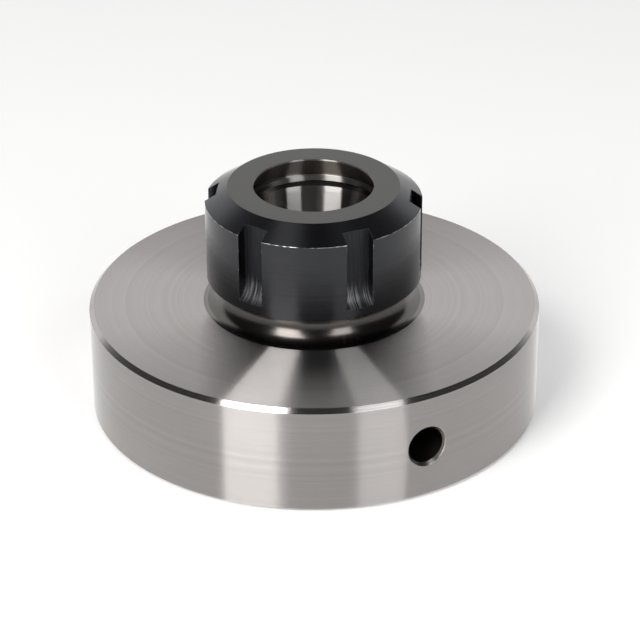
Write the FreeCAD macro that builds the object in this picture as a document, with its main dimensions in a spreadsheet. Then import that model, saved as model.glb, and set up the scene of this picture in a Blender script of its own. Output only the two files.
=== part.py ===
import FreeCAD, Part
import Sketcher
import math
import os

# Collet chuck with a plain back, for a lathe spindle or a rotary table.
# Frame: origin at the centre of the disc's back face, +Z towards the nose.
# The tommy bar hole in the rim points along -Y. Sizes are in millimetres and degrees.

doc = FreeCAD.newDocument("ColletChuck")

# Driving sizes: every size that can be set by itself has one cell
sizes = doc.addObject("Spreadsheet::Sheet", "Sizes")
driving_sizes = [
    # disc
    ("disc_diameter", 105.0),
    ("disc_thickness", 26.0),
    ("rim_chamfer", 1.0),
    ("back_chamfer", 0.8),
    # neck between the disc and the nose
    ("shoulder_step", 1.0),       # neck radius over the thread radius
    ("flare_radius", 5.0),
    ("shoulder_land", 0.5),       # straight stretch of neck above the flare
    # threaded nose, a plain cylinder at the thread's pitch line
    ("nose_wall", 3.5),           # thread radius over the collet radius
    ("thread_pitch", 1.5),
    ("thread_clearance", 0.05),   # radial, from the nose to the nut
    ("relief_width", 2.5),
    ("relief_depth", 1.5),
    ("nose_lead", 1.0),
    ("nose_clearance", 0.75),     # from the nose's front face to the nut's ring
    # taper socket
    ("collet_diameter", 33.0),
    ("socket_half_angle", 8.0),
    ("socket_length", 32.0),
    ("socket_lead_depth", 2.3),
    ("socket_lead_rise", 0.6),
    # back face
    ("flange_width", 16.5),       # from the register's wall to the rim
    ("register_depth", 3.5),
    ("edge_break", 0.4),
    ("bolt_setback", 6.0),        # from the register's wall to the bolt circle
    ("bolt_count", 3),
    ("bolt_clock", 60.0),         # first tapped hole, round from the tommy bar hole
    ("tap_drill", 6.8),
    ("tap_chamfer", 0.45),
    ("tap_depth", 16.0),
    # tommy bar hole
    ("bar_hole_diameter", 8.5),
    ("bar_hole_chamfer", 0.75),
    ("bar_hole_depth", 20.0),
    # nut
    ("nut_gap", 1.0),             # from the shoulder to the nut's back
    ("nut_wall", 5.0),            # nut radius over the thread radius
    ("nut_length", 22.5),
    ("bevel_width", 5.2),
    ("bevel_length", 3.5),
    ("nut_back_chamfer", 0.5),
    ("mouth_lip", 0.35),
    ("cone_length", 4.42),
    ("cone_half_angle", 30.0),
    ("collet_play", 0.1),         # radial, from the collet to the nut's recess
    ("recess_width", 0.43),
    ("ring_step", 0.9),
    ("ring_offset", 0.75),
    ("ring_width", 1.35),
    ("chamber_step", 0.4),        # chamber radius over the thread radius
    ("chamber_width", 1.95),
    ("thread_lead", 0.8),
    ("slot_count", 6),
    ("slot_width", 6.4),
    ("slot_depth", 2.8),
    ("slot_cutter_radius", 5.0),
    ("slot_end_height", 2.5),
    ("nut_clock", 26.35),         # a slot's direction round from +X when the nut is tight
]
for row, (alias, value) in enumerate(driving_sizes, start=1):
    sizes.set(f"A{row}", alias)
    sizes.set(f"B{row}", str(value))
    sizes.setAlias(f"B{row}", alias)
doc.recompute()

# Sizes that follow from the cells, as expressions that more than one feature uses
disc_radius = "Sizes.disc_diameter / 2"
collet_radius = "Sizes.collet_diameter / 2"
thread_radius = f"({collet_radius} + Sizes.nose_wall)"
pitch_radius = f"({thread_radius} - 3 * sqrt(3) / 16 * Sizes.thread_pitch)"
nose_radius = f"({pitch_radius} - Sizes.thread_clearance / 2)"
neck_radius = f"({thread_radius} + Sizes.shoulder_step)"
shoulder_height = "(Sizes.disc_thickness + Sizes.flare_radius + Sizes.shoulder_land)"
nut_seat = f"({shoulder_height} + Sizes.nut_gap)"

ring_top = "(Sizes.nut_length - Sizes.mouth_lip - Sizes.cone_length - Sizes.recess_width)"
ring_bottom = f"({ring_top} - Sizes.ring_width)"
nose_height = f"({nut_seat} + {ring_bottom} - Sizes.nose_clearance)"
gauge_height = f"({nose_height} - Sizes.socket_lead_depth)"
bore_radius = f"({collet_radius} - Sizes.socket_length * tan(Sizes.socket_half_angle * 1 deg))"

nut_radius = f"({thread_radius} + Sizes.nut_wall)"
nut_bore_radius = f"({pitch_radius} + Sizes.thread_clearance / 2)"
recess_radius = f"({collet_radius} - Sizes.collet_play)"
mouth_radius = f"({recess_radius} - Sizes.cone_length * tan(Sizes.cone_half_angle * 1 deg))"
slot_floor = f"({nut_radius} - Sizes.slot_depth)"

register_radius = f"({disc_radius} - Sizes.flange_width)"
bolt_radius = f"({register_radius} + Sizes.bolt_setback)"


def new_body(name):
    body = doc.addObject("PartDesign::Body", name)
    body.Label = name
    return body


def new_sketch(body, name, role):
    """A sketch on one of the body's own origin planes."""
    plane = next(f for f in body.Origin.OriginFeatures if f.Role == role)
    sketch = body.newObject("Sketcher::SketchObject", name)
    sketch.AttachmentSupport = [(plane, "")]
    sketch.MapMode = "FlatFace"
    return sketch


def pin_point(sketch, geometry, end, across, up):
    """Fix one point of a sketch by its distances from the sketch's origin."""
    for kind, size, axis in (("DistanceX", across, -2), ("DistanceY", up, -1)):
        if size == "0":
            sketch.addConstraint(Sketcher.Constraint("PointOnObject", geometry, end, axis))
        else:
            index = sketch.addConstraint(Sketcher.Constraint(kind, -1, 1, geometry, end, 1.0))
            sketch.setExpression(f"Constraints[{index}]", size)


def outline(body, name, role, corners):
    """A closed outline of straight lines, each corner given as (across, up)."""
    sketch = new_sketch(body, name, role)
    turns = [2 * math.pi * i / len(corners) for i in range(len(corners))]
    start = [FreeCAD.Vector(2 + math.cos(a), 2 + math.sin(a), 0) for a in turns]
    for i in range(len(corners)):
        sketch.addGeometry(Part.LineSegment(start[i], start[i - len(corners) + 1]), False)
    for i in range(len(corners)):
        following = (i + 1) % len(corners)
        sketch.addConstraint(Sketcher.Constraint("Coincident", i, 2, following, 1))
    for i, (across, up) in enumerate(corners):
        pin_point(sketch, i, 1, across, up)
    return sketch


def circle(body, name, role, radius, across="0", up="0", height=None):
    """A circle of a given radius, on a plane that height lifts along its normal."""
    sketch = new_sketch(body, name, role)
    sketch.addGeometry(Part.Circle(FreeCAD.Vector(0, 0, 0), FreeCAD.Vector(0, 0, 1), 1.0), False)
    index = sketch.addConstraint(Sketcher.Constraint("Radius", 0, 1.0))
    sketch.setExpression(f"Constraints[{index}]", radius)
    pin_point(sketch, 0, 3, across, up)
    if height:
        sketch.setExpression(".AttachmentOffset.Base.z", height)
    return sketch


def settle(body, feature):
    """Rebuild, and stop if the new feature left the body's solid as it was."""
    before = body.Shape.Volume if not body.Shape.isNull() else 0.0
    doc.recompute()
    if feature.Shape.isNull() or abs(feature.Shape.Volume - before) < 1e-3:
        raise RuntimeError(f"{feature.Name} changed nothing")
    return feature


def revolve(body, kind, name, sketch):
    """A full turn of an outline about its sketch's vertical axis, which is the chuck's own."""
    feature = body.newObject(f"PartDesign::{kind}", name)
    feature.Profile = sketch
    feature.ReferenceAxis = (sketch, ["V_Axis"])
    feature.Angle = 360
    return settle(body, feature)


def pocket(body, name, sketch, length, **settings):
    """A pocket of a stated length."""
    feature = body.newObject("PartDesign::Pocket", name)
    feature.Profile = sketch
    feature.setExpression("Length", length)
    for setting, value in settings.items():
        setattr(feature, setting, value)
    return settle(body, feature)


def drilled_hole(body, name, sketch, diameter, depth, chamfer, along_normal=False):
    """A blind drilled hole with a chamfered mouth, from a circle that holds its centre."""
    feature = body.newObject("PartDesign::Hole", name)
    feature.Profile = sketch
    feature.DepthType = "Dimension"
    feature.DrillPoint = "Angled"
    feature.HoleCutType = "Countersink"
    feature.HoleCutCustomValues = True
    feature.HoleCutCountersinkAngle = 90
    feature.Reversed = along_normal
    feature.setExpression("Diameter", diameter)
    feature.setExpression("Depth", depth)
    feature.setExpression("HoleCutDiameter", f"{diameter} + 2 * {chamfer}")
    return settle(body, feature)


def ring_edge(feature, height, pick):
    """The name of the widest or narrowest circular edge at a height: pick is max or min."""
    rings = {}
    for number, edge in enumerate(feature.Shape.Edges, start=1):
        if isinstance(edge.Curve, Part.Circle) and abs(edge.Curve.Center.z - height) < 1e-4:
            rings[edge.Curve.Radius] = f"Edge{number}"
    return rings[pick(rings)]


def dress(body, kind, name, base, size, *edges):
    """A chamfer or a fillet, whose size is an expression, on edges of the feature before it."""
    feature = body.newObject(f"PartDesign::{kind}", name)
    feature.Base = (base, list(edges))
    feature.setExpression("Radius" if kind == "Fillet" else "Size", size)
    return settle(body, feature)


def repeat(body, name, features, count):
    """Copies of some features, evenly spaced about the chuck's axis."""
    axis = next(f for f in body.Origin.OriginFeatures if f.Role == "Z_Axis")
    pattern = body.newObject("PartDesign::PolarPattern", name)
    pattern.Originals = features
    pattern.Axis = (axis, [""])
    pattern.Angle = 360
    pattern.setExpression("Occurrences", count)
    body.Tip = pattern
    return settle(body, pattern)


# Chuck body: the disc, the flared neck, the threaded nose and the taper socket
chuck = new_body("chuck_body")
back = 0.0
disc_top = sizes.get("disc_thickness")

disc = chuck.newObject("PartDesign::Pad", "disc")
disc.Profile = circle(chuck, "disc_outline", "XY_Plane", disc_radius)
disc.setExpression("Length", "Sizes.disc_thickness")
settle(chuck, disc)
top_rim = ring_edge(disc, disc_top, max)
rim = dress(chuck, "Chamfer", "rim", disc, "Sizes.rim_chamfer", top_rim)
back_rim = ring_edge(rim, back, max)
dress(chuck, "Chamfer", "back_rim", rim, "Sizes.back_chamfer", back_rim)

relief_radius = f"({thread_radius} - Sizes.relief_depth)"
relief_top = f"({shoulder_height} + Sizes.relief_width)"
nose_outline = outline(chuck, "nose_outline", "XZ_Plane", [
    ("0", "Sizes.disc_thickness"),
    (neck_radius, "Sizes.disc_thickness"),
    (neck_radius, shoulder_height),
    (relief_radius, shoulder_height),
    (relief_radius, relief_top),
    (nose_radius, f"{relief_top} + {nose_radius} - {relief_radius}"),
    (nose_radius, f"{nose_height} - Sizes.nose_lead"),
    (f"{nose_radius} - Sizes.nose_lead", nose_height),
    ("0", nose_height),
])
nose = revolve(chuck, "Revolution", "nose", nose_outline)
neck_foot = ring_edge(nose, disc_top, min)
dress(chuck, "Fillet", "flare", nose, "Sizes.flare_radius", neck_foot)

socket_outline = outline(chuck, "socket_outline", "XZ_Plane", [
    ("0", "0"),
    (bore_radius, "0"),
    (bore_radius, f"{gauge_height} - Sizes.socket_length"),
    (collet_radius, gauge_height),
    (f"{collet_radius} + Sizes.socket_lead_rise", nose_height),
    ("0", nose_height),
])
revolve(chuck, "Groove", "taper_socket", socket_outline)

register_circle = circle(chuck, "register_circle", "XY_Plane", register_radius)
register = pocket(chuck, "register", register_circle, "Sizes.register_depth", Reversed=True)
register_mouth = ring_edge(register, back, min)
bore_mouth = ring_edge(register, sizes.get("register_depth"), min)
dress(chuck, "Chamfer", "edge_breaks", register, "Sizes.edge_break", register_mouth, bore_mouth)

bolt_direction = "(Sizes.bolt_clock * 1 deg)"
bolt_centre = circle(
    chuck, "bolt_centre", "XY_Plane", "Sizes.tap_drill / 2",
    across=f"{bolt_radius} * sin{bolt_direction}",
    up=f"0 - {bolt_radius} * cos{bolt_direction}",
)
bolt_hole = drilled_hole(
    chuck, "bolt_hole", bolt_centre,
    "Sizes.tap_drill", "Sizes.tap_depth", "Sizes.tap_chamfer", along_normal=True,
)
repeat(chuck, "bolt_holes", [bolt_hole], "Sizes.bolt_count")

bar_centre = circle(
    chuck, "bar_centre", "XZ_Plane", "Sizes.bar_hole_diameter / 2",
    up="Sizes.disc_thickness / 2", height=disc_radius,
)
drilled_hole(
    chuck, "tommy_bar_hole", bar_centre,
    "Sizes.bar_hole_diameter", "Sizes.bar_hole_depth", "Sizes.bar_hole_chamfer",
)

# Clamping nut, drawn from its back face up
nut = new_body("clamping_nut")
nut_outline = outline(nut, "nut_outline", "XZ_Plane", [
    ("0", "0"),
    (f"{nut_radius} - Sizes.nut_back_chamfer", "0"),
    (nut_radius, "Sizes.nut_back_chamfer"),
    (nut_radius, "Sizes.nut_length - Sizes.bevel_length"),
    (f"{nut_radius} - Sizes.bevel_width", "Sizes.nut_length"),
    ("0", "Sizes.nut_length"),
])
revolve(nut, "Revolution", "blank", nut_outline)

# the mouth's cone bears on the collet's front, and the recess below it takes the collet's head
mouth_outline = outline(nut, "mouth_outline", "XZ_Plane", [
    ("0", ring_top),
    (recess_radius, ring_top),
    (recess_radius, f"{ring_top} + Sizes.recess_width"),
    (mouth_radius, "Sizes.nut_length - Sizes.mouth_lip"),
    (mouth_radius, "Sizes.nut_length"),
    ("0", "Sizes.nut_length"),
])
revolve(nut, "Groove", "mouth", mouth_outline)

# the bore's radius over the chamber and the thread, from the ring down to the back face
chamber_radius = f"({thread_radius} + Sizes.chamber_step)"
chamber_bottom = f"({ring_bottom} - Sizes.chamber_width)"
thread_outline = outline(nut, "thread_outline", "XZ_Plane", [
    ("0", "0"),
    (f"{nut_bore_radius} + Sizes.thread_lead", "0"),
    (nut_bore_radius, "Sizes.thread_lead"),
    (nut_bore_radius, chamber_bottom),
    (chamber_radius, chamber_bottom),
    (chamber_radius, ring_bottom),
    ("0", ring_bottom),
])
revolve(nut, "Groove", "thread_bore", thread_outline)

# the ring's bore stands off the chuck's axis, so that it hooks into the collet's groove
ring_circle = circle(
    nut, "ring_circle", "XY_Plane", f"{recess_radius} - Sizes.ring_step",
    across="Sizes.ring_offset", height=ring_bottom,
)
pocket(nut, "extracting_ring", ring_circle, "Sizes.ring_width", Reversed=True)

# each spanner slot is milled in from the bevel, and its floor sweeps out at the cutter's radius
cutter = "Sizes.slot_cutter_radius"
sweep_height = f"sqrt(2 * {cutter} * Sizes.slot_depth - Sizes.slot_depth ^ 2)"
sweep_start = f"(Sizes.slot_end_height + {sweep_height})"
clear_of_nut = f"({slot_floor} + 2 * {cutter})"
slot_outline = outline(nut, "slot_outline", "XZ_Plane", [
    (slot_floor, sweep_start),
    (clear_of_nut, sweep_start),
    (clear_of_nut, "Sizes.nut_length"),
    (slot_floor, "Sizes.nut_length"),
])
slot = pocket(nut, "slot", slot_outline, "Sizes.slot_width", Midplane=True)
sweep_circle = circle(
    nut, "sweep_circle", "XZ_Plane", cutter, across=f"{slot_floor} + {cutter}", up=sweep_start
)
slot_sweep = pocket(nut, "slot_sweep", sweep_circle, "Sizes.slot_width", Midplane=True)
repeat(nut, "slots", [slot, slot_sweep], "Sizes.slot_count")

nut.Placement.Rotation = FreeCAD.Rotation(FreeCAD.Vector(0, 0, 1), 1.0)
nut.setExpression(".Placement.Rotation.Angle", "Sizes.nut_clock * 1 deg")
nut.setExpression(".Placement.Base.z", nut_seat)
doc.recompute()

# Check the whole document, then write each piece
for item in doc.Objects:
    if "Invalid" in item.State or "Error" in item.State:
        raise RuntimeError(f"{item.Name} failed: {item.State}")

os.makedirs("parts", exist_ok=True)
for body in (chuck, nut):
    if body.Shape.isNull() or not body.Shape.isValid() or len(body.Shape.Solids) != 1:
        raise RuntimeError(f"{body.Label} is not one sound solid")
    body.Shape.exportStep(f"parts/{body.Label}.step")
    print(body.Label, round(body.Shape.Volume / 1000, 2), "cm3")
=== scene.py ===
import math

import bmesh
import bpy
from mathutils import Matrix, Vector

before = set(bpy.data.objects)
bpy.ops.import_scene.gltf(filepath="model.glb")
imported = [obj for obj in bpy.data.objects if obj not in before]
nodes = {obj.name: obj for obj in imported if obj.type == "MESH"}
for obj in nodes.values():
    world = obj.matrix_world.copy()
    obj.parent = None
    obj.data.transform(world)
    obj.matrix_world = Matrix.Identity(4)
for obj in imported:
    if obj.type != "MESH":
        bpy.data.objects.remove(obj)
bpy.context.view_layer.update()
print("frame loaded:", sorted(nodes))

mm = 0.001


def rgba(r, g, b):
    return (r, g, b, 1.0)


white = rgba(1, 1, 1)


def newMaterial(name):
    mat = bpy.data.materials.new(name)
    mat.use_nodes = True
    tree = mat.node_tree
    tree.nodes.clear()
    out = tree.nodes.new("ShaderNodeOutputMaterial")
    return mat, tree, out


# joins a node's output to a socket, or sets the socket to a plain value
def link(tree, value, socket):
    if isinstance(value, bpy.types.NodeSocket):
        tree.links.new(value, socket)
    elif value is not None:
        socket.default_value = value


def calc(tree, operation, a, b=None, c=None):
    node = tree.nodes.new("ShaderNodeMath")
    node.operation = operation
    for value, socket in zip((a, b, c), node.inputs):
        link(tree, value, socket)
    return node.outputs[0]


def vec(tree, operation, a, b=None, scale=None):
    node = tree.nodes.new("ShaderNodeVectorMath")
    node.operation = operation
    link(tree, a, node.inputs[0])
    link(tree, b, node.inputs[1])
    link(tree, scale, node.inputs[3])
    return node.outputs["Vector"]


def ramp(tree, value, low, high, lowTo=0.0, highTo=1.0, smooth=True):
    node = tree.nodes.new("ShaderNodeMapRange")
    node.interpolation_type = "SMOOTHSTEP" if smooth else "LINEAR"
    link(tree, value, node.inputs["Value"])
    for key, number in (("From Min", low), ("From Max", high), ("To Min", lowTo), ("To Max", highTo)):
        node.inputs[key].default_value = number
    return node.outputs["Result"]


# how long a step is that goes a one way and b at right angles to it
def hypotenuse(tree, a, b):
    return calc(tree, "SQRT", calc(tree, "MULTIPLY_ADD", a, a, calc(tree, "MULTIPLY", b, b)))


def apart(tree, a, b):
    return calc(tree, "ABSOLUTE", calc(tree, "SUBTRACT", a, b))


# masks: 1 where the words hold and 0 elsewhere
def above(tree, value, limit):
    return calc(tree, "GREATER_THAN", value, limit)


def below(tree, value, limit):
    return calc(tree, "LESS_THAN", value, limit)


def within(tree, value, low, high):
    return allOf(tree, above(tree, value, low), below(tree, value, high))


def allOf(tree, *masks):
    result = masks[0]
    for mask in masks[1:]:
        result = calc(tree, "MULTIPLY", result, mask)
    return result


def eitherOf(tree, a, b):
    return calc(tree, "MAXIMUM", a, b)


def blendColour(tree, amount, a, b):
    node = tree.nodes.new("ShaderNodeMix")
    node.data_type = "RGBA"
    colourInputs = {socket.name: socket for socket in node.inputs if socket.type == "RGBA"}
    link(tree, amount, node.inputs["Factor"])
    link(tree, a, colourInputs["A"])
    link(tree, b, colourInputs["B"])
    return [socket for socket in node.outputs if socket.type == "RGBA"][0]


# a colour made brighter or darker
def tone(tree, colour, factor):
    if isinstance(colour, tuple):
        colour = colour[:3]
    return vec(tree, "SCALE", colour, scale=factor)


def blendShader(tree, amount, a, b):
    node = tree.nodes.new("ShaderNodeMixShader")
    link(tree, amount, node.inputs[0])
    tree.links.new(a, node.inputs[1])
    tree.links.new(b, node.inputs[2])
    return node.outputs[0]


# where a point lies on a turned piece
def turnedPlace(tree):
    coord = tree.nodes.new("ShaderNodeTexCoord")
    split = tree.nodes.new("ShaderNodeSeparateXYZ")
    tree.links.new(coord.outputs["Object"], split.inputs[0])
    x, y, z = split.outputs
    return coord.outputs["Object"], x, y, z, hypotenuse(tree, x, y)


def turnOf(tree, x, y):
    return calc(tree, "ARCTAN2", y, x)


# a number that runs along the outline, faster up a wall, so that each tool mark has its own
def alongOutline(tree, radius, z, wallRate=1.7):
    return calc(tree, "SUBTRACT", radius, calc(tree, "MULTIPLY", z, wallRate))


def lineNoise(tree, along, scale):
    node = tree.nodes.new("ShaderNodeTexNoise")
    node.noise_dimensions = "1D"
    link(tree, along, node.inputs["W"])
    node.inputs["Scale"].default_value = scale
    node.inputs["Detail"].default_value = 5.0
    node.inputs["Roughness"].default_value = 0.8
    return node.outputs[0]


def cloudNoise(tree, place, scale, detail=3.0, roughness=0.5):
    node = tree.nodes.new("ShaderNodeTexNoise")
    link(tree, place, node.inputs["Vector"])
    node.inputs["Scale"].default_value = scale
    node.inputs["Detail"].default_value = detail
    node.inputs["Roughness"].default_value = roughness
    return node.outputs[0]


# brightness about 1 that differs from tool mark to tool mark, and in soft clouds
def shadeOf(tree, piece, place, along):
    lines = calc(tree, "SUBTRACT", lineNoise(tree, along, 1 / piece["markSpan"]), 0.5)
    clouds = calc(tree, "SUBTRACT", cloudNoise(tree, place, 1 / piece["cloudSpan"]), 0.5)
    return calc(tree, "MULTIPLY_ADD", lines, 2 * piece["marks"],
                calc(tree, "MULTIPLY_ADD", clouds, 2 * piece["clouds"], 1.0))


# the surface normal, tipped across the tool marks by a different amount on each mark
def markedNormal(tree, along, spacing, slope, edgeRound=None):
    geo = tree.nodes.new("ShaderNodeNewGeometry")
    base = geo.outputs["Normal"]
    if edgeRound:
        bevel = tree.nodes.new("ShaderNodeBevel")
        bevel.samples = 6
        bevel.inputs["Radius"].default_value = edgeRound
        base = bevel.outputs[0]
    mark = calc(tree, "FLOOR", calc(tree, "DIVIDE", along, spacing))
    chance = tree.nodes.new("ShaderNodeTexWhiteNoise")
    chance.noise_dimensions = "1D"
    tree.links.new(mark, chance.inputs["W"])
    tip = calc(tree, "MULTIPLY", calc(tree, "SUBTRACT", chance.outputs["Value"], 0.5), 2 * slope)
    across = vec(tree, "CROSS_PRODUCT", base, geo.outputs["Tangent"])
    return vec(tree, "NORMALIZE", vec(tree, "ADD", base, vec(tree, "SCALE", across, scale=tip)))


# gloss with its own spread along the marks and across them
def gloss(tree, colour, spread, normal=None):
    alongMarks, acrossMarks = spread
    middle = math.sqrt(alongMarks * acrossMarks)
    node = tree.nodes.new("ShaderNodeBsdfAnisotropic")
    link(tree, colour, node.inputs["Color"])
    node.inputs["Roughness"].default_value = math.sqrt(middle)
    node.inputs["Anisotropy"].default_value = 1.0 - alongMarks / middle
    link(tree, normal, node.inputs["Normal"])
    return node.outputs[0]


# the colour goes to white where the surface is seen edge on
def edgeTint(tree, colour, ior):
    weight = tree.nodes.new("ShaderNodeFresnel")
    weight.inputs["IOR"].default_value = ior
    grow = ramp(tree, weight.outputs[0], ((ior - 1) / (ior + 1)) ** 2, 1.0, smooth=False)
    return blendColour(tree, grow, colour, white)


chuck = {
    "steel": rgba(0.425, 0.402, 0.393),
    "steelSpread": (0.012, 0.45),
    "steelIor": 1.6,
    "marks": 0.16,                      # how much the tool marks vary in brightness
    "markSpan": 2.2 * mm,
    "clouds": 0.07,
    "cloudSpan": 24.0 * mm,
    "markSpacing": 0.25 * mm,
    "markSlope": 0.01,
    "rim": 77.5 * mm,                   # radius plus height on the front chamfer
    "rimWidth": 0.06 * mm,
    "rimInside": 51.0 * mm,
    "rimSpread": (0.012, 0.08),
    "rimSteel": rgba(0.42, 0.40, 0.39),
    "speckSpan": 0.5 * mm,
    "speckLevels": (0.72, 0.8),
    "speckBright": 0.5,
    "collarRadius": 25.85 * mm,
    "collarLine": 24.8 * mm,            # outside this the black is rubbed thin
    "collarFoot": 25.5 * mm,
    "collar": rgba(0.095, 0.088, 0.082),
    "collarThin": rgba(0.17, 0.16, 0.152),
    "collarSpread": (0.035, 0.055),
    "socketRadius": 17.6 * mm,
    "socketTop": 46.7 * mm,             # the polish ends here, and the edge above it is black
    "socket": rgba(0.40, 0.385, 0.38),
    "socketSpread": (0.008, 0.42),
    "barHoleHeight": 13.0 * mm,
    "barHoleRadius": 4.3 * mm,
    "barHoleMouth": 5.2 * mm,
    "barHoleEnd": -28.0 * mm,           # how far in the drilled hole's finish reaches
    "barHoleSkin": 52.42 * mm,          # radius just under the disc's side
    "barMouth": rgba(0.13, 0.125, 0.12),
    "barMouthSpread": (0.1, 0.1),
    "scale": rgba(0.03, 0.026, 0.022),  # black inside the drilled hole
    "scaleSpread": (0.2, 0.3),
}


def chuckFinish():
    mat, tree, out = newMaterial("ground_steel")
    place, x, y, z, radius = turnedPlace(tree)
    along = alongOutline(tree, radius, z)
    normal = markedNormal(tree, along, chuck["markSpacing"], chuck["markSlope"])
    shade = shadeOf(tree, chuck, place, along)
    ior = chuck["steelIor"]

    steelColour = edgeTint(tree, tone(tree, chuck["steel"], shade), ior)
    steel = gloss(tree, steelColour, chuck["steelSpread"], normal)

    rimLine = calc(tree, "ADD", radius, z)
    rimMask = allOf(tree, above(tree, rimLine, chuck["rim"] - chuck["rimWidth"]),
                    above(tree, radius, chuck["rimInside"]))
    specks = ramp(tree, cloudNoise(tree, place, 1 / chuck["speckSpan"], 1.0),
                  *chuck["speckLevels"], 0.0, chuck["speckBright"])
    rimColour = blendColour(tree, specks, tone(tree, chuck["rimSteel"], shade), white)
    rim = gloss(tree, edgeTint(tree, rimColour, ior), chuck["rimSpread"], normal)

    inSocket = below(tree, radius, chuck["socketRadius"])
    socketMask = allOf(tree, inSocket, below(tree, z, chuck["socketTop"]))
    socketEdge = allOf(tree, inSocket, above(tree, z, chuck["socketTop"]))
    socket = gloss(tree, tone(tree, chuck["socket"], shade), chuck["socketSpread"])

    flare = allOf(tree, within(tree, radius, chuck["socketRadius"], chuck["collarRadius"]),
                  above(tree, z, chuck["collarFoot"]))
    collarMask = eitherOf(tree, flare, socketEdge)
    thin = above(tree, radius, chuck["collarLine"])
    collarColour = blendColour(tree, thin, chuck["collar"], chuck["collarThin"])
    collar = gloss(tree, edgeTint(tree, tone(tree, collarColour, shade), ior), chuck["collarSpread"])

    up = calc(tree, "SUBTRACT", z, chuck["barHoleHeight"])
    reach = hypotenuse(tree, x, up)
    inDisc = allOf(tree, below(tree, y, chuck["barHoleEnd"]), below(tree, radius, chuck["barHoleSkin"]))
    mouthMask = allOf(tree, below(tree, reach, chuck["barHoleMouth"]), inDisc)
    holeMask = allOf(tree, below(tree, reach, chuck["barHoleRadius"]), inDisc)
    mouth = gloss(tree, tone(tree, chuck["barMouth"], shade), chuck["barMouthSpread"])
    hole = gloss(tree, chuck["scale"], chuck["scaleSpread"])

    shader = blendShader(tree, rimMask, steel, rim)
    shader = blendShader(tree, collarMask, shader, collar)
    shader = blendShader(tree, socketMask, shader, socket)
    shader = blendShader(tree, mouthMask, shader, mouth)
    shader = blendShader(tree, holeMask, shader, hole)
    tree.links.new(shader, out.inputs["Surface"])
    return mat


nut = {
    "oxide": rgba(0.046, 0.047, 0.051),
    "sideSpread": (0.035, 0.11),
    "faceOxide": rgba(0.062, 0.06, 0.058),
    "faceSpread": (0.16, 0.16),
    "ior": 1.75,
    "marks": 0.1,
    "markSpan": 1.5 * mm,
    "clouds": 0.1,
    "cloudSpan": 9.0 * mm,
    "markSpacing": 0.25 * mm,
    "markSlope": 0.015,
    "edgeRound": 0.2 * mm,
    "top": 55.0 * mm,
    "outerRadius": 25.0 * mm,
    "bevelFoot": 51.5 * mm,
    "bevelSlope": 5.2 / 3.5,
    "skin": 0.02 * mm,                     # a face's finish starts this far under it
    # bright steel for the edges: partly rubbed-off oxide, partly a painted highlight for the edges' glint
    "wornAndGlint": rgba(0.6, 0.6, 0.6),
    "wornAndGlintWidth": 0.16 * mm,
    "wornAndGlintSpan": 1.6 * mm,                  # size of the bright and dark stretches along the edges
    "edgeWornAndGlintLevels": (0.4, 0.6),
    "slotWornAndGlintLevels": (0.56, 0.7),
    "clock": math.radians(26.35),          # direction of one slot
    "slots": 6,
    "slotHalf": 3.2 * mm,
    "slotFloor": 22.2 * mm,
    "slotFloorSkin": 0.1 * mm,
    "slotMouthSkin": 0.08 * mm,
    "slotSpread": (0.25, 0.2),
    "slotOxide": rgba(0.035, 0.036, 0.04),
    "streak": rgba(0.2, 0.2, 0.21),
    "streakWidth": 0.22 * mm,
    "streakLength": 9.0 * mm,
    "streakShuffle": 9.7,                  # sets each slot's streaks apart from the next one's
    "streakLevels": (0.46, 0.66),
    "streakHeights": (37.0 * mm, 41.5 * mm),
    "streakFaint": 0.06,                   # what is left of the streaks above those heights
    "insideRadius": 18.5 * mm,
    "inside": rgba(0.17, 0.15, 0.135),
    "insideSpread": (0.02, 0.55),
    "ring": (48.3 * mm, 49.9 * mm),        # heights of the extracting ring
    "ringSteel": rgba(0.5, 0.48, 0.46),
    "lip": 0.4 * mm,                       # bright edge of the mouth
}
slotPitch = 2 * math.pi / nut["slots"]


# the slots folded onto one: distances outward and sideways from its middle
def slotPlace(tree, x, y, radius):
    turn = calc(tree, "SUBTRACT", turnOf(tree, x, y), nut["clock"])
    fold = calc(tree, "WRAP", turn, slotPitch / 2, -slotPitch / 2)
    outward = calc(tree, "MULTIPLY", radius, calc(tree, "COSINE", fold))
    sideways = calc(tree, "MULTIPLY", radius, calc(tree, "SINE", fold))
    return outward, sideways


# bright bare steel along the edge of the bevel, and in places on the slots' edges: partly rubbed-off oxide,
# partly a painted highlight for the glint of these rounded edges
def nutWearAndGlint(tree, place, z, radius, aside):
    toSide = apart(tree, radius, nut["outerRadius"])
    toEdge = calc(tree, "ADD", toSide, apart(tree, z, nut["bevelFoot"]))
    toSlot = calc(tree, "ADD", apart(tree, aside, nut["slotHalf"]), toSide)
    patchy = cloudNoise(tree, place, 1 / nut["wornAndGlintSpan"], 4.0, 0.7)
    edgeWearAndGlint = allOf(tree, ramp(tree, toEdge, 0.0, nut["wornAndGlintWidth"], 1.0, 0.0),
                     ramp(tree, patchy, *nut["edgeWornAndGlintLevels"]))
    slotWearAndGlint = allOf(tree, ramp(tree, toSlot, 0.0, nut["wornAndGlintWidth"], 1.0, 0.0),
                     ramp(tree, patchy, *nut["slotWornAndGlintLevels"]))
    return eitherOf(tree, edgeWearAndGlint, slotWearAndGlint)


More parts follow.
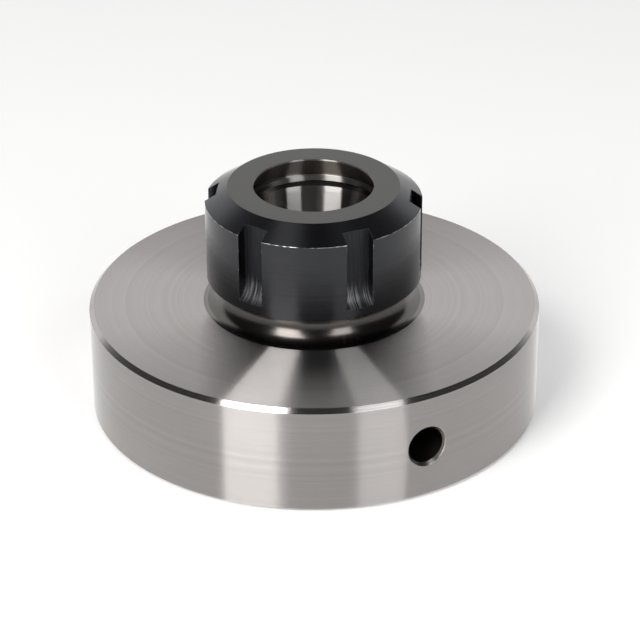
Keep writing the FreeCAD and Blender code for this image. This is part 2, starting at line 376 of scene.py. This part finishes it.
# marks of the milling cutter, which fade out up the slot
def slotStreaks(tree, x, y, z, sideways):
    sector = calc(tree, "FLOOR", calc(tree, "DIVIDE", turnOf(tree, x, y), slotPitch))
    streakPlace = tree.nodes.new("ShaderNodeCombineXYZ")
    link(tree, calc(tree, "DIVIDE", sideways, nut["streakWidth"]), streakPlace.inputs[0])
    link(tree, calc(tree, "DIVIDE", z, nut["streakLength"]), streakPlace.inputs[1])
    link(tree, calc(tree, "MULTIPLY", sector, nut["streakShuffle"]), streakPlace.inputs[2])
    streaks = ramp(tree, cloudNoise(tree, streakPlace.outputs[0], 1.0, 2.0), *nut["streakLevels"])
    return allOf(tree, streaks, ramp(tree, z, *nut["streakHeights"], 1.0, nut["streakFaint"]))


def nutFinish():
    mat, tree, out = newMaterial("black_oxide_steel")
    place, x, y, z, radius = turnedPlace(tree)
    along = alongOutline(tree, radius, z)
    normal = markedNormal(tree, along, nut["markSpacing"], nut["markSlope"], nut["edgeRound"])
    shade = shadeOf(tree, nut, place, along)
    outward, sideways = slotPlace(tree, x, y, radius)
    aside = calc(tree, "ABSOLUTE", sideways)
    underFace = nut["top"] - nut["skin"]

    # painted highlight: the glint along the bevel and slot edges is partly painted in as bright steel, on
    # top of rubbed-off oxide
    wearAndGlint = nutWearAndGlint(tree, place, z, radius, aside)
    sideColour = blendColour(tree, wearAndGlint, tone(tree, nut["oxide"], shade), nut["wornAndGlint"])
    side = gloss(tree, edgeTint(tree, sideColour, nut["ior"]), nut["sideSpread"], normal)

    faceMask = above(tree, z, underFace)
    faceColour = edgeTint(tree, tone(tree, nut["faceOxide"], shade), nut["ior"])
    face = gloss(tree, faceColour, nut["faceSpread"], normal)

    overFoot = calc(tree, "MAXIMUM", calc(tree, "SUBTRACT", z, nut["bevelFoot"]), 0.0)
    outline = calc(tree, "SUBTRACT", nut["outerRadius"], calc(tree, "MULTIPLY", overFoot, nut["bevelSlope"]))
    slotMask = allOf(tree, below(tree, aside, nut["slotHalf"] - nut["skin"]),
                     above(tree, outward, nut["slotFloor"] - nut["slotFloorSkin"]),
                     below(tree, radius, calc(tree, "SUBTRACT", outline, nut["slotMouthSkin"])))
    streaks = slotStreaks(tree, x, y, z, sideways)
    slotColour = blendColour(tree, streaks, tone(tree, nut["slotOxide"], shade), nut["streak"])
    slot = gloss(tree, slotColour, nut["slotSpread"])

    insideMask = allOf(tree, below(tree, radius, nut["insideRadius"]), below(tree, z, underFace))
    bright = eitherOf(tree, within(tree, z, *nut["ring"]), above(tree, z, nut["top"] - nut["lip"]))
    insideColour = blendColour(tree, bright, tone(tree, nut["inside"], shade), nut["ringSteel"])
    inside = gloss(tree, insideColour, nut["insideSpread"])

    shader = blendShader(tree, faceMask, side, face)
    shader = blendShader(tree, slotMask, shader, slot)
    shader = blendShader(tree, insideMask, shader, inside)
    tree.links.new(shader, out.inputs["Surface"])
    return mat


def dress(name, material):
    node = nodes[name]
    for slot in node.material_slots:
        slot.material = material
    if not node.material_slots:
        node.data.materials.append(material)


dress("chuck_body", chuckFinish())
dress("clamping_nut", nutFinish())
print("materials on the chuck and the nut")


studio = {
    "floorHalf": 6.0,
    "floorColour": rgba(0.86, 0.86, 0.86),
    "floorGlow": 0.18,
    "target": (0.0, 0.0, 0.020),        # the camera and the lamps point here
    "cameraPlace": (-0.2642, -0.4916, 0.32396),
    "cameraRoll": -0.32,
    "cameraShift": (0.0089, -0.00125),
    "cameraClip": (0.05, 50.0),
    "lens": 152.15,
    "sensor": 36.0,
}
cameraTurn = math.atan2(studio["cameraPlace"][0], -studio["cameraPlace"][1])     # from straight in front


def aim(obj, target, roll):
    turn = (Vector(target) - obj.location).to_track_quat("-Z", "Y").to_matrix().to_4x4()
    obj.matrix_world = Matrix.Translation(obj.location) @ turn @ Matrix.Rotation(math.radians(roll), 4, "Z")


# diffuse paper, with a glow that only the camera and mirrored light see
def floorFinish():
    mat, tree, out = newMaterial("floor_paper")
    diffuse = tree.nodes.new("ShaderNodeBsdfDiffuse")
    diffuse.inputs["Color"].default_value = studio["floorColour"]
    glow = tree.nodes.new("ShaderNodeEmission")
    path = tree.nodes.new("ShaderNodeLightPath")
    seen = eitherOf(tree, path.outputs["Is Camera Ray"],
                    eitherOf(tree, path.outputs["Is Glossy Ray"], path.outputs["Is Transmission Ray"]))
    link(tree, calc(tree, "MULTIPLY", seen, studio["floorGlow"]), glow.inputs["Strength"])
    both = tree.nodes.new("ShaderNodeAddShader")
    tree.links.new(diffuse.outputs[0], both.inputs[0])
    tree.links.new(glow.outputs[0], both.inputs[1])
    tree.links.new(both.outputs[0], out.inputs["Surface"])
    return mat


def makeFloor():
    bm = bmesh.new()
    bmesh.ops.create_grid(bm, x_segments=1, y_segments=1, size=studio["floorHalf"])
    mesh = bpy.data.meshes.new("floor")
    bm.to_mesh(mesh)
    bm.free()
    floor = bpy.data.objects.new("floor", mesh)
    bpy.context.scene.collection.objects.link(floor)
    mesh.materials.append(floorFinish())


# azimuths are round from the camera, and brightness is a lamp's power over pi times its area
lamps = {
    "leftBox": {
        "azimuth": -35.0, "elevation": 43.0, "distance": 1.2, "roll": 10.0,
        "width": 0.50, "height": 0.85, "brightness": 9.2, "tint": (1.0, 0.99, 0.975),
    },
    "rightBox": {
        "azimuth": 34.5, "elevation": 37.0, "distance": 1.2, "roll": -9.0,
        "width": 0.42, "height": 0.68, "brightness": 4.8, "tint": (0.98, 0.99, 1.0),
    },
}


def makeLamp(name, box):
    data = bpy.data.lights.new(name, "AREA")
    data.shape = "RECTANGLE"
    data.size, data.size_y = box["width"], box["height"]
    data.energy = box["brightness"] * math.pi * box["width"] * box["height"]
    data.color = box["tint"]
    lamp = bpy.data.objects.new(name, data)
    bpy.context.scene.collection.objects.link(lamp)
    turn = cameraTurn + math.radians(box["azimuth"])
    rise = math.radians(box["elevation"])
    direction = Vector((math.sin(turn) * math.cos(rise), -math.cos(turn) * math.cos(rise), math.sin(rise)))
    lamp.location = direction * box["distance"]
    aim(lamp, studio["target"], box["roll"])
    lamp.visible_camera = False


room = {
    "backdrop": 1.3,                  # brightness of the backdrop
    "backdropEdges": (52.0, 49.0),    # degrees left and right of straight behind
    "backdropBlur": 1.5,              # degrees either side of those edges
    "backdropTop": (60.0, 84.0),      # elevations between which it fades out
    "wall": 0.8,                      # low pale wall all round
    "wallTop": (14.0, 21.0),
    "horizon": (3.0, 8.0),            # full brightness up to here, then down to the wall's
    "ceiling": 0.06,
}


def makeWorld():
    world = bpy.data.worlds.new("room")
    bpy.context.scene.world = world
    world.use_nodes = True
    tree = world.node_tree
    tree.nodes.clear()
    out = tree.nodes.new("ShaderNodeOutputWorld")
    back = tree.nodes.new("ShaderNodeBackground")
    coord = tree.nodes.new("ShaderNodeTexCoord")
    turn = tree.nodes.new("ShaderNodeVectorRotate")
    turn.rotation_type = "Z_AXIS"
    turn.inputs["Angle"].default_value = -cameraTurn
    tree.links.new(coord.outputs["Generated"], turn.inputs["Vector"])
    split = tree.nodes.new("ShaderNodeSeparateXYZ")
    tree.links.new(turn.outputs[0], split.inputs[0])
    side, away, height = split.outputs
    rise = calc(tree, "DEGREES", calc(tree, "ARCSINE", height))
    around = calc(tree, "DEGREES", calc(tree, "ARCTAN2", side, away))
    left, right = room["backdropEdges"]
    blur = room["backdropBlur"]
    behind = allOf(tree, ramp(tree, around, -left - blur, -left + blur),
                   ramp(tree, around, right - blur, right + blur, 1.0, 0.0),
                   ramp(tree, rise, *room["backdropTop"], 1.0, 0.0))
    backdrop = calc(tree, "MULTIPLY", behind, room["backdrop"])
    wall = ramp(tree, rise, *room["wallTop"], room["wall"], room["ceiling"])
    horizon = ramp(tree, rise, *room["horizon"], 1.0, 0.0)
    level = eitherOf(tree, eitherOf(tree, wall, backdrop), horizon)
    link(tree, level, back.inputs["Strength"])
    tree.links.new(back.outputs[0], out.inputs["Surface"])


def makeCamera():
    data = bpy.data.cameras.new("camera")
    data.lens = studio["lens"]
    data.sensor_width = studio["sensor"]
    data.shift_x, data.shift_y = studio["cameraShift"]
    data.clip_start, data.clip_end = studio["cameraClip"]
    camera = bpy.data.objects.new("camera", data)
    bpy.context.scene.collection.objects.link(camera)
    camera.location = studio["cameraPlace"]
    aim(camera, studio["target"], studio["cameraRoll"])
    bpy.context.scene.camera = camera


makeFloor()
for name, box in lamps.items():
    makeLamp(name, box)
makeWorld()
makeCamera()
bpy.context.scene.view_settings.view_transform = "Standard"
print("floor, lamps and camera in place")
